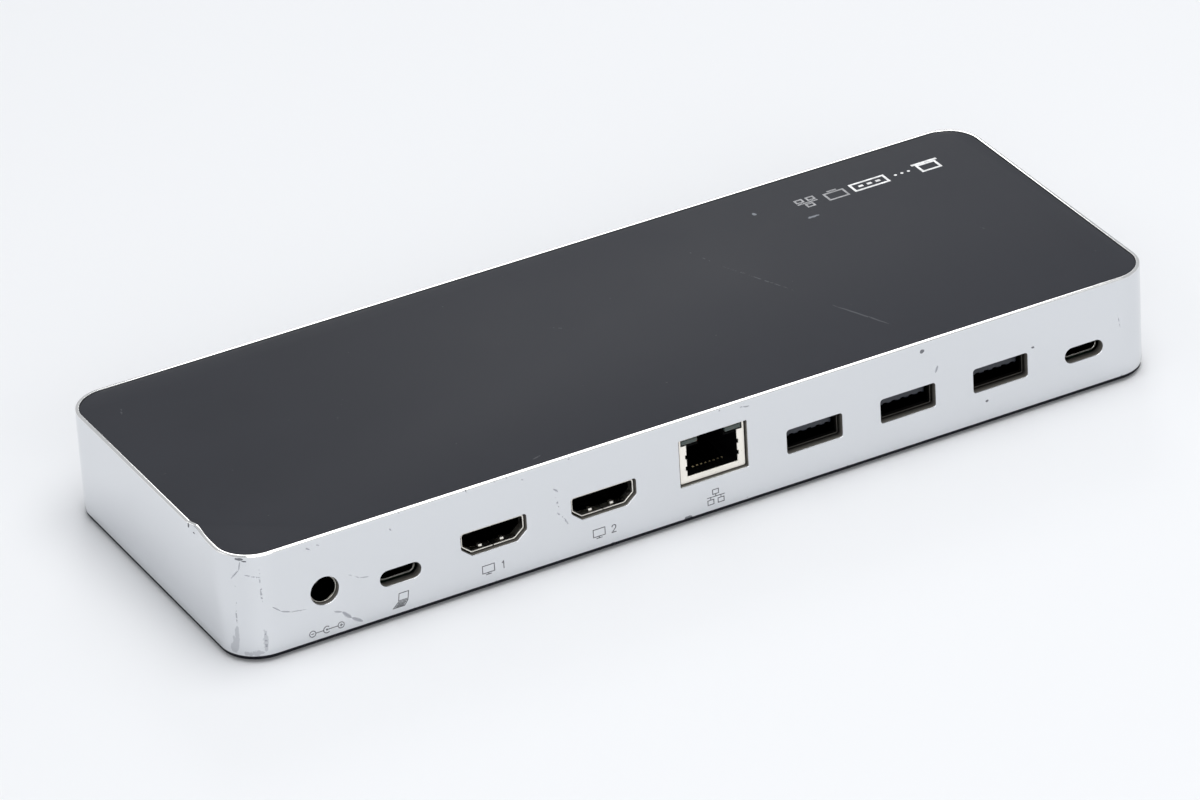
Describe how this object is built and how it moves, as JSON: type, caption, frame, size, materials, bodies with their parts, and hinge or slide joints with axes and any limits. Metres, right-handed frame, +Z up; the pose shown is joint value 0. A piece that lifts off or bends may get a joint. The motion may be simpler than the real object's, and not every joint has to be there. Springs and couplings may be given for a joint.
{
  "type": "laptop docking station",
  "caption": "Low rectangular laptop dock: silver frame with a row of power, video, network and data sockets, dark top panel, black base, press button.",
  "frame": {"origin": "middle of the footprint, in the plane of the feet's lower faces", "axes": "+X along the length, left to right when facing the long row of sockets; +Y from that row towards the opposite face; +Z up"},
  "size_m": [0.2258, 0.0826, 0.026],
  "materials": {
    "silver_plating": "satin silver finish over a moulded frame, bright polished top edge, worn corners",
    "panel_charcoal": "fine satin charcoal with light scratches",
    "cover_black": "fine moulded texture",
    "foot_rubber": "matt",
    "screw_steel": "black zinc",
    "board_laminate": "solder mask",
    "plain_aluminium": "plain",
    "inductor_ferrite": "pressed powder",
    "chip_resin": "matt resin",
    "pad_silicone": "soft",
    "light_pipe_clear": "clear",
    "contact_gold": "gold plated",
    "socket_steel": "tin plated",
    "socket_plastic": "black moulded"
  },
  "bodies": {
    "housing": {"board_screw_1": "screw_steel", "board_screw_2": "screw_steel", "board_screw_3": "screw_steel", "board_screw_4": "screw_steel", "bottom_cover": "cover_black", "capacitor_1": "plain_aluminium", "capacitor_2": "plain_aluminium", "capacitor_3": "plain_aluminium", "case_screw_1": "screw_steel", "case_screw_2": "screw_steel", "case_screw_3": "screw_steel", "case_screw_4": "screw_steel", "clock_crystal": "socket_steel", "data_hub_chip": "chip_resin", "foot_1": "foot_rubber", "foot_2": "foot_rubber", "foot_3": "foot_rubber", "foot_4": "foot_rubber", "headset_socket": "socket_plastic", "heat_sink": "plain_aluminium", "main_board": "board_laminate", "network_chip": "chip_resin", "network_contacts": "contact_gold", "network_insert": "socket_plastic", "network_light_pipe_left": "light_pipe_clear", "network_light_pipe_right": "light_pipe_clear", "network_shield": "socket_steel", "network_transformer": "chip_resin", "power_chip": "chip_resin", "power_inductor_1": "inductor_ferrite", "power_inductor_2": "inductor_ferrite", "power_inductor_3": "inductor_ferrite", "power_socket_body": "socket_plastic", "power_socket_pin": "socket_steel", "power_socket_sleeve": "socket_steel", "power_switch": "socket_steel", "silver_frame": "silver_plating", "status_light_pipe": "light_pipe_clear", "thermal_pad": "pad_silicone", "top_panel": "panel_charcoal", "type_a_shell_1": "socket_steel", "type_a_shell_2": "socket_steel", "type_a_shell_3": "socket_steel", "type_a_shell_front": "socket_steel", "type_a_tongue_1": "socket_plastic", "type_a_tongue_2": "socket_plastic", "type_a_tongue_3": "socket_plastic", "type_a_tongue_front": "socket_plastic", "type_c_shell_left": "socket_steel", "type_c_shell_right": "socket_steel", "type_c_tongue_left": "socket_plastic", "type_c_tongue_right": "socket_plastic", "video_hub_chip": "chip_resin", "video_shell_1": "socket_steel", "video_shell_2": "socket_steel", "video_tongue_1": "socket_plastic", "video_tongue_2": "socket_plastic"},
    "button": {"power_button": "silver_plating", "switch_plunger": "socket_plastic"}
  },
  "joints": [
    {"name": "power_button_press", "type": "slide", "parent": "housing", "child": "button", "axis": [0, -1, 0], "range_m": [0, 0.0005], "stiffness_N_per_m": 2000, "springref_m": -0.0002}
  ]
}
